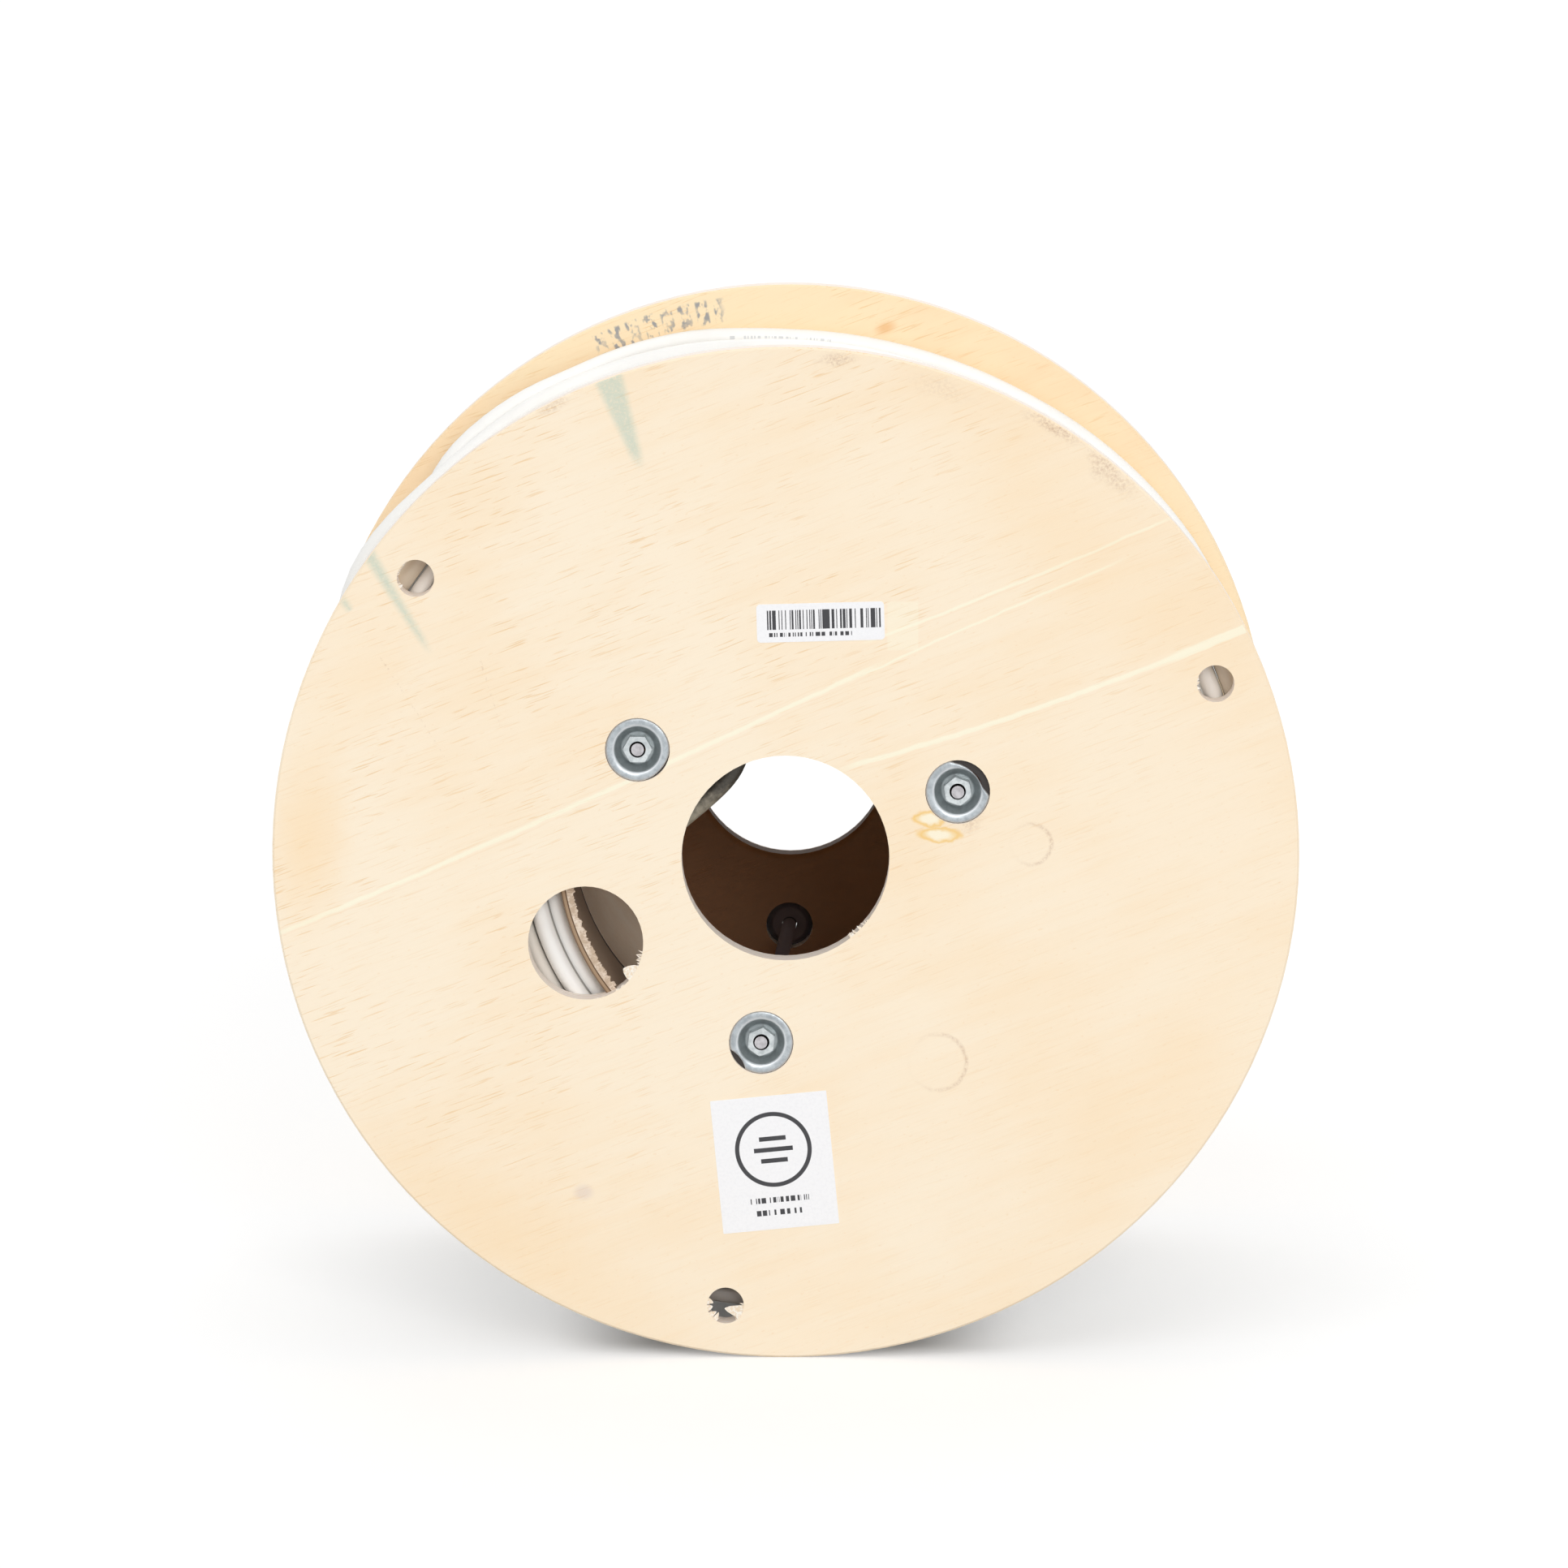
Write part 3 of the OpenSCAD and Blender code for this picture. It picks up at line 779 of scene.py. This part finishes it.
def bar_label_paper():
    """White label with random bars and a row of dashes."""
    g = Graph("bar_label_paper", 0.35)
    u, v, _ = g.split(g.scaled(g.uv, 1 / MM))
    value = g.cells(u, BAR, 11.0)
    bars = g.times(g.step(value, 0.5, 0.51), g.near(u, 1.3, 22.0, 0.05), g.near(v, 1.2, 3.75, 0.08))
    words = dashed_line(g, u, v, -4.6, 0.75, 16.0, 5.0, -4.0)
    return g.paint(g.mix(g.math("MAXIMUM", bars, words), paper(g), LABEL_INK))


def mark_label_paper():
    """White label with a plain ring, three bars in it and two rows of dashes."""
    g = Graph("mark_label_paper", 0.35)
    u, v, _ = g.split(g.scaled(g.uv, 1 / MM))
    mark = g.ring((0.0, 5.2), 14.2, 1.7, 0.12, (u, v))
    for level, half in ((9.6, 5.2), (5.2, 7.6), (0.8, 5.2)):
        mark = g.math("MAXIMUM", mark, g.times(g.near(v, level, 0.85, 0.1), g.near(u, 0.0, half, 0.1)))
    for level, half, seed in ((-15.0, 12.0, 2.0), (-20.0, 9.0, 7.0)):
        mark = g.math("MAXIMUM", mark, dashed_line(g, u, v, level, 1.05, half, seed))
    return g.paint(g.mix(mark, paper(g), LABEL_INK))


def add_object(name, data):
    """A new object in the scene."""
    made = bpy.data.objects.new(name, data)
    bpy.context.scene.collection.objects.link(made)
    return made


def new_piece(name, shape, material, sharp=None):
    """A mesh piece that rides on the reel, from points, faces and UVs where it has them."""
    points, faces, *layers = shape
    mesh = bpy.data.meshes.new(name)
    mesh.from_pydata([Vector(p) * MM for p in points], [], faces)
    for uvs in layers:
        layer = mesh.uv_layers.new(name="UVMap")
        layer.data.foreach_set("uv", [value for uv in uvs for value in uv])
    mesh.materials.append(material)
    work = bmesh.new()
    work.from_mesh(mesh)
    bmesh.ops.recalc_face_normals(work, faces=work.faces)
    work.to_mesh(mesh)
    work.free()
    mesh.shade_smooth()
    if sharp:
        mesh.set_sharp_from_angle(angle=math.radians(sharp))
    piece = add_object(name, mesh)
    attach(piece, BODY)
    return piece


def band(first, second, count):
    """Quads between two rings of points, each given by the number of its first point."""
    return [(first + i, first + (i + 1) % count, second + (i + 1) % count, second + i) for i in range(count)]


def shifted(faces, start):
    """Faces whose points are counted from a new start."""
    return [tuple(i + start for i in face) for face in faces]


def path_lengths(path):
    """How far along a path each of its points lies."""
    lengths = [0.0]
    for a, b in zip(path, path[1:]):
        lengths.append(lengths[-1] + (b - a).length)
    return lengths


def tube(path, closed=False):
    """Points, faces and UVs of a cable. u is the length in metres, and v is 0 towards the front."""
    count, sides = len(path), CABLE_SIDES
    points, faces, uvs = [], [], []
    forward = across = Vector((0, -1, 0))
    for i, at in enumerate(path):
        before = path[i - 1] if i or closed else at
        after = path[(i + 1) % count] if i < count - 1 or closed else at
        ahead = (after - before).normalized()
        wanted = forward if abs(ahead.y) < STEEP else across
        across = (wanted - ahead * wanted.dot(ahead)).normalized()
        other = ahead.cross(across)
        for k in range(sides):
            turn = 2 * math.pi * k / sides
            points.append(at + CABLE_R * (math.cos(turn) * across + math.sin(turn) * other))
    lengths = path_lengths(list(path) + [path[0]])
    for i in range(count if closed else count - 1):
        j = (i + 1) % count
        for k in range(sides):
            m = (k + 1) % sides
            faces.append((i * sides + k, j * sides + k, j * sides + m, i * sides + m))
            u0, u1 = lengths[i] * MM, lengths[i + 1] * MM
            uvs += [(u0, k / sides), (u1, k / sides), (u1, (k + 1) / sides), (u0, (k + 1) / sides)]
    if not closed:
        for i in (0, count - 1):
            faces.append(tuple(i * sides + k for k in range(sides)))
            uvs += [(lengths[i] * MM, 0.25)] * sides
    return points, faces, uvs


def through(knots, longest):
    """A smooth route through points (Catmull-Rom) in steps up to a longest one."""
    route = []
    knots = [Vector(k) for k in knots]
    for i in range(len(knots) - 1):
        a, b, c, d = (knots[min(max(j, 0), len(knots) - 1)] for j in range(i - 1, i + 3))
        steps = max(2, math.ceil((c - b).length / longest))
        for n in range(steps):
            t = n / steps
            route.append(0.5 * (2 * b + (c - a) * t + (2 * a - 5 * b + 4 * c - d) * t * t
                                + (3 * b - a - 3 * c + d) * t ** 3))
    return route + [knots[-1]]


def through_polar(knots):
    """A smooth route through points given by angle, radius and y."""
    return [polar(*knot) for knot in through(knots, PATH_STEP)]


def bed_middle(turn):
    """Where a turn of the layer below lies along the reel."""
    return (turn - (BED_TURNS - 1) / 2) * LAY


def top_path():
    """The outer layer from the front flange, its crossing over the bed and the loose last turn."""
    path = []
    first_y = bed_middle(0.5)
    for n in range(round(RISE_FROM * STEPS_A_TURN), TOP_TURNS * STEPS_A_TURN):
        turns = n / STEPS_A_TURN
        step = max(0, math.floor(turns) + smooth((turns % 1 - 1 + STEP_OVER_SHARE) / STEP_OVER_SHARE))
        angle = TOP_ANGLE + 360 * turns
        sway = SWAY * math.sin(math.radians(2 * angle) + 1.7 * turns)
        below = 1 - smooth((turns - RISE_FROM) / RISE_TURNS)
        radius = TOP_R - below * RISE_HEIGHT + RIPPLE * math.sin(math.radians(3 * angle) + turns)
        path.append(polar(angle, radius, first_y + step * LAY + sway - below * RISE_SHIFT))
    return path + through_polar(CROSSING)[:-1] + through_polar(LAST_TURN)


def print_start(path):
    """How far along the path the last turn reaches the printed stretch."""
    target = polar(PRINT_ANGLE, TOP_R, LAST_Y)
    nearest = min(range(len(path) // 2, len(path)), key=lambda i: (path[i] - target).length)
    return path_lengths(path)[nearest] - PRINT_LENGTH


def core_profile():
    """Half section of the winding under its outer layer: radius and y."""
    inner = DRUM_R + CORE_GAP
    profile = [(inner, -CORE_END), (CORE_R, -CORE_END)]
    for turn in range(1, BED_TURNS):
        for step in range(-3, 4):
            c, s = unit(BED_ARC_STEP * step)
            profile.append((BED_R + CABLE_R * c, bed_middle(turn) + CABLE_R * s))
    return profile + [(CORE_R, LAST_Y - 0.6), (CORE_R - 5, CORE_END), (inner, CORE_END)]


def lathe(profile, steps, place):
    """Points and faces of a closed turned ring; place(radius, height, turn) gives a point."""
    count = len(profile)
    points = [place(r, h, 2 * math.pi * n / steps) for n in range(steps) for r, h in profile]
    faces = []
    for n in range(steps):
        faces += band(n * count, (n + 1) % steps * count, count)
    return points, faces


def add_winding():
    """The wound cable: a core with its bed of turns, the outer layer and the end turns."""
    path = top_path()
    jacket = cable_jacket(print_start(path))
    turned = lathe(core_profile(), STEPS_A_TURN, lambda r, h, t: polar(math.degrees(t), r, h))
    core = new_piece("cable_core", turned, jacket, sharp=50)
    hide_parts("cable_winding")
    new_piece("cable_top_turns", tube(path), jacket, sharp=50)
    for side, turns in END_TURNS.items():
        points, faces, uvs = [], [], []
        for radius, off, lean in turns:
            ring = []
            for n in range(STEPS_A_TURN):
                angle = 360 * n / STEPS_A_TURN
                c, s = unit(angle)
                ring.append(polar(angle, radius + lean * (END_LEAN[0] * c + END_LEAN[1] * s),
                                  SIDES[side] * (INNER_FACE - off)))
            more, quads, spots = tube(ring, closed=True)
            faces += shifted(quads, len(points))
            points += more
            uvs += spots
        new_piece(f"cable_{side}_end_turns", (points, faces, uvs), jacket)


def add_inner_end():
    """The cable's inner end, which comes out of the drum's wall behind the front flange."""
    path = through(INNER_END, PATH_STEP)
    piece = new_piece("inner_cable_end", tube(path), shaded_cable_end_material(), sharp=50)
    piece.data.materials.append(cable_cut_material())
    piece.data.polygons[-1].material_index = 1
    path_lengths(path)[-1] * MM


def middle_of(node):
    """Middle of a CAD node's box."""
    low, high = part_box(node)
    return (low + high) / (2 * MM)


def add_rod(number, metal):
    """A threaded rod on the line between its two nuts, as a helix of crests and roots."""
    front, rear = middle_of(f"front_nut_{number}"), middle_of(f"rear_nut_{number}")
    low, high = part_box(f"tie_rod_{number}")
    slope = (rear - front) / (rear.y - front.y)
    start = front + slope * (low.y / MM - front.y)
    length = (high.y - low.y) / MM
    rows = int(2 * length / THREAD_PITCH) + 5
    points = []
    for row in range(rows):
        for k in range(THREAD_SIDES):
            along = (row / 2 + k / THREAD_SIDES - 1) * THREAD_PITCH
            along = min(max(along, 0.0), length)
            to_end = min(along, length - along)
            radius = THREAD_CREST if row % 2 else THREAD_ROOT
            if to_end < STUB_LENGTH:
                radius = STUB_R
            turn = 2 * math.pi * k / THREAD_SIDES
            points.append(start + slope * along + radius * Vector((math.cos(turn), 0, math.sin(turn))))
    work = bmesh.new()
    made = [work.verts.new(p * MM) for p in points]
    # A thread is two rows, so the last point of a row goes on two rows further
    for near in range((rows - 1) * THREAD_SIDES):
        beside = near + (1 if (near + 1) % THREAD_SIDES else THREAD_SIDES + 1)
        if beside + THREAD_SIDES < len(made):
            face = near, beside, beside + THREAD_SIDES, near + THREAD_SIDES
            work.faces.new([made[i] for i in face])
    bmesh.ops.remove_doubles(work, verts=work.verts, dist=1e-6)
    bmesh.ops.dissolve_degenerate(work, edges=work.edges, dist=1e-6)
    bmesh.ops.holes_fill(work, edges=work.edges)
    work.verts.index_update()
    shape = [v.co / MM for v in work.verts], [[v.index for v in f.verts] for f in work.faces]
    work.free()
    rod = new_piece(f"threaded_rod_{number}", shape, metal, sharp=35)
    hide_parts(f"tie_rod_{number}")


def angle_off(angle, middle):
    """How far an angle lies from a middle one, from -180 to 180."""
    return (angle - middle + 180) % 360 - 180


def wide_bite(angle):
    """Brim radius of a washer whose brim is torn away in a crescent."""
    angle = angle_off(angle, 0)
    for (a, low), (b, high) in zip(CRESCENT, CRESCENT[1:]):
        if a <= angle <= b:
            return low + (high - low) * (angle - a) / (b - a)
    return BRIM_R


def small_bite(angle):
    """Brim radius of a washer with a lens-shaped bite."""
    off = math.radians(angle_off(angle, BITE_ANGLE))
    reach = BITE_R ** 2 - (BITE_FROM_MIDDLE * math.sin(off)) ** 2
    if abs(off) > math.radians(BITE_HALF_SPAN) or reach <= 0:
        return BRIM_R
    radius = BITE_FROM_MIDDLE * math.cos(off) - math.sqrt(reach)
    return min(BRIM_R, max(BRIM_ROOT + LEAST_BRIM, radius))


def slack_side(angle):
    """Brim radius of a washer that leaves a thin gap on one side."""
    off = angle_off(angle, SLACK_ANGLE)
    return BRIM_R - SLACK_WIDTH * smooth(1 - abs(off) / SLACK_HALF_SPAN)


def whole(_):
    """Brim radius of a sound washer."""
    return BRIM_R


BRIMS = {("front", 1): wide_bite, ("front", 2): slack_side, ("front", 3): small_bite}


def add_washer(side, number, metal):
    """A cup washer pressed from sheet, its brim trimmed to what the real one has left."""
    sign = SIDES[side]
    middle = middle_of(f"{side}_nut_{number}")
    brim = BRIMS.get((side, number), whole)

    def place(radius, depth, turn):
        if radius > BRIM_ROOT:
            share = (brim(math.degrees(turn)) - BRIM_ROOT) / (BRIM_R - BRIM_ROOT)
            radius = BRIM_ROOT + (radius - BRIM_ROOT) * share
        return Vector((middle.x + radius * math.cos(turn), sign * (OUTER_FACE - depth),
                       middle.z + radius * math.sin(turn)))

    pressed = lathe(WASHER_PROFILE, WASHER_STEPS, place)
    washer = new_piece(f"cup_washer_{side}_{number}", pressed, metal, sharp=50)
    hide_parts(f"{side}_washer_{number}")


def add_label(name, label, material):
    """A paper label on the front face, with rounded corners and UVs in metres from its middle."""
    (x, z), width, height, tilt, corner = label
    outline = []
    for sx, sz, start in ((1, 1, 0), (-1, 1, 90), (-1, -1, 180), (1, -1, 270)):
        for n in range(CORNER_STEPS + 1):
            c, s = unit(start + 90 * n / CORNER_STEPS)
            outline.append((sx * (width / 2 - corner) + corner * c, sz * (height / 2 - corner) + corner * s))
    c, s = unit(tilt)
    points, spots = [], []
    for out in (0.0, LABEL_T):
        for u, v in outline:
            points.append((x + u * c - v * s, -OUTER_FACE - out, z + u * s + v * c))
            spots.append((u * MM, v * MM))
    count = len(outline)
    faces = [tuple(range(count)), tuple(range(count, 2 * count)), *band(0, count, count)]
    uvs = [spots[i] for face in faces for i in face]
    new_piece(name, (points, faces, uvs), material, sharp=30)


def chip(hole, radius, angle, length, width, lean, top, thickness):
    """Points and faces of one splinter that stands from a hole's edge into the hole."""
    c, s = unit(angle)
    out, side = Vector((c, 0, s)), Vector((-s, 0, c))
    base = Vector((hole[0], 0, hole[1])) + out * (radius + CHIP_ROOT)
    points = []
    for share, size in CHIP_TAPER:
        middle = base - out * (length + CHIP_ROOT) * share + side * lean * share * share
        half = width * size / 2
        y = -OUTER_FACE + top + 0.5 * thickness * share * share
        points += [middle - side * half + Vector((0, y, 0)), middle + side * half + Vector((0, y, 0)),
                   middle + Vector((0, y + thickness * (0.4 + 0.6 * size), 0))]
    tip = len(points) - 3
    faces = [(0, 1, 2), (tip, tip + 1, tip + 2)]
    for first in range(0, tip, 3):
        faces += band(first, first + 3, 3)
    return points, faces


def random_chips(dice, count, first, last, longest):
    """Small chips along part of a hole's edge."""
    chips = []
    for _ in range(count):
        angle = dice.uniform(first, last)
        length = longest * dice.uniform(0.25, 1.0)
        chips.append((angle, length, dice.uniform(0.5, 1.5), dice.uniform(-0.8, 0.8),
                      dice.uniform(0.05, 1.2), dice.uniform(0.4, 1.0)))
    return chips


def add_torn_edges(material):
    """Torn veneer at the holes of the front flange, one piece for each hole."""
    dice = random.Random(CHIP_SEED)
    for name, (hole, radius, chips, stretches) in TORN_HOLES.items():
        chips = list(chips)
        for stretch in stretches:
            chips += random_chips(dice, *stretch)
        points, faces = [], []
        for values in chips:
            more, polygons = chip(hole, radius, *values)
            faces += shifted(polygons, len(points))
            points += more
        new_piece(name, (points, faces), material, sharp=30)


def add_drum_fray(material):
    """A torn flap of board along the inside edge of the drum's front end, seen in the start hole."""
    dice = random.Random(FRAY_SEED)
    inner, end = DRUM_R - DRUM_WALL, -DRUM_END
    points, faces = [], []
    ragged = 0.0
    for n in range(FRAY_STEPS + 1):
        angle = FRAY_ANGLES[0] + (FRAY_ANGLES[1] - FRAY_ANGLES[0]) * n / FRAY_STEPS
        ragged = 0.6 * ragged + dice.uniform(-0.5, 0.5)
        reach = inner - 1.0 + 1.15 * ragged
        points += [polar(angle, inner + FRAY_ROOT, end - 0.06),
                   polar(angle, reach, end + dice.uniform(-0.3, 0.3)),
                   polar(angle, reach + 0.2, end + FRAY_T), polar(angle, inner + FRAY_ROOT, end + FRAY_T)]
    for n in range(FRAY_STEPS):
        faces += band(4 * n, 4 * n + 4, 4)
    last = 4 * FRAY_STEPS
    faces += [(0, 1, 2, 3), (last, last + 1, last + 2, last + 3)]
    new_piece("drum_end_fray", (points, faces), material, sharp=20)


def add_camera():
    """The camera of the photograph."""
    data = bpy.data.cameras.new("camera")
    data.lens = CAMERA_LENS
    data.sensor_width = SENSOR_WIDTH
    data.clip_end = FLOOR_SIZE_M
    camera = add_object("camera", data)
    camera.location = CAMERA_AT
    camera.rotation_euler = (math.radians(CAMERA_TILT), 0, math.radians(CAMERA_PAN))
    bpy.context.scene.camera = camera


def seen_directly(tree):
    """1 for rays that show the background, seen directly or in metal and glass."""
    path = tree.nodes.new("ShaderNodeLightPath")
    value = path.outputs["Is Camera Ray"]
    for name in ("Is Glossy Ray", "Is Transmission Ray"):
        either = tree.nodes.new("ShaderNodeMath")
        either.operation = "MAXIMUM"
        tree.links.new(value, either.inputs[0])
        tree.links.new(path.outputs[name], either.inputs[1])
        value = either.outputs[0]
    return value


def scaled_value(tree, value, low, high):
    """Low where a value is 0 and high where it is 1."""
    made = tree.nodes.new("ShaderNodeMapRange")
    made.inputs["To Min"].default_value = low
    made.inputs["To Max"].default_value = high
    tree.links.new(value, made.inputs["Value"])
    return made.outputs["Result"]


def add_light():
    """The suns and the white sky."""
    for name, (direction, strength, across) in SUNS.items():
        lamp = bpy.data.lights.new(name, "SUN")
        lamp.energy = strength
        lamp.angle = math.radians(across)
        sun = add_object(name, lamp)
        sun.rotation_euler = Vector(direction).to_track_quat("Z", "Y").to_euler()
    world = bpy.data.worlds.new("studio")
    world.use_nodes = True
    tree = world.node_tree
    back = tree.nodes["Background"]
    back.inputs["Color"].default_value = (1, 1, 1, 1)
    tree.links.new(scaled_value(tree, seen_directly(tree), SKY_STRENGTH, 1.0), back.inputs["Strength"])
    bpy.context.scene.world = world


def add_floor():
    """A wide pale floor that takes the shadow and reads white; it has no glow close under the reel, which
    paints a shadow there.
    """
    g = Graph("floor", 0.9)
    g.feed("Emission Color", (1, 1, 1, 1))
    # Painted shadow: no glow close under the reel
    under = g.times(g.near(g.x, 0.0, 40.0, 60.0), g.near(g.y, 0.0, OUTER_FACE - 25.0, 30.0))
    glow = scaled_value(g.tree, seen_directly(g.tree), 0.0, FLOOR_GLOW)
    g.feed("Emission Strength", g.times(glow, g.math("SUBTRACT", 1.0, under)))
    g.feed("Specular IOR Level", 0.0)
    speck = g.noise(g.place, 900.0, 2.0)
    pale = (*[FLOOR_TONE] * 3, 1)
    paler = (*[FLOOR_TONE + FLOOR_SPECK] * 3, 1)
    material = g.paint(g.mix(speck, pale, paler))
    half = FLOOR_SIZE_M / 2
    mesh = bpy.data.meshes.new("floor")
    low = cad_box[0].z
    corners = [(-half, -half, low), (half, -half, low), (half, half, low), (-half, half, low)]
    mesh.from_pydata(corners, [], [(0, 1, 2, 3)])
    mesh.materials.append(material)
    floor = add_object("floor", mesh)


def dress(node, material):
    """Gives a CAD node a material."""
    slots = nodes[node].data.materials
    slots.clear()
    slots.append(material)


bpy.context.scene.view_settings.view_transform = "Standard"
add_camera()
add_light()
add_floor()

add_winding()
add_inner_end()
dress("front_flange", plywood("front_plywood", -1, WOOD_PALE, WOOD_WARM, front_marks))
dress("rear_flange", plywood("rear_plywood", 1, WOOD_REAR_PALE, WOOD_REAR, rear_marks, REAR_BORE_SHADE))
board = drum_board()
dress("drum", board)
washer_metal, nut_metal, rod_metal = washer_zinc_with_highlight(), nut_zinc(), rod_zinc()
for number in (1, 2, 3):
    add_rod(number, rod_metal)
    for side in SIDES:
        add_washer(side, number, washer_metal)
        dress(f"{side}_nut_{number}", nut_metal)
add_label("bar_label", BAR_LABEL, bar_label_paper())
add_label("mark_label", MARK_LABEL, mark_label_paper())
add_torn_edges(splinter_wood())
add_drum_fray(board)
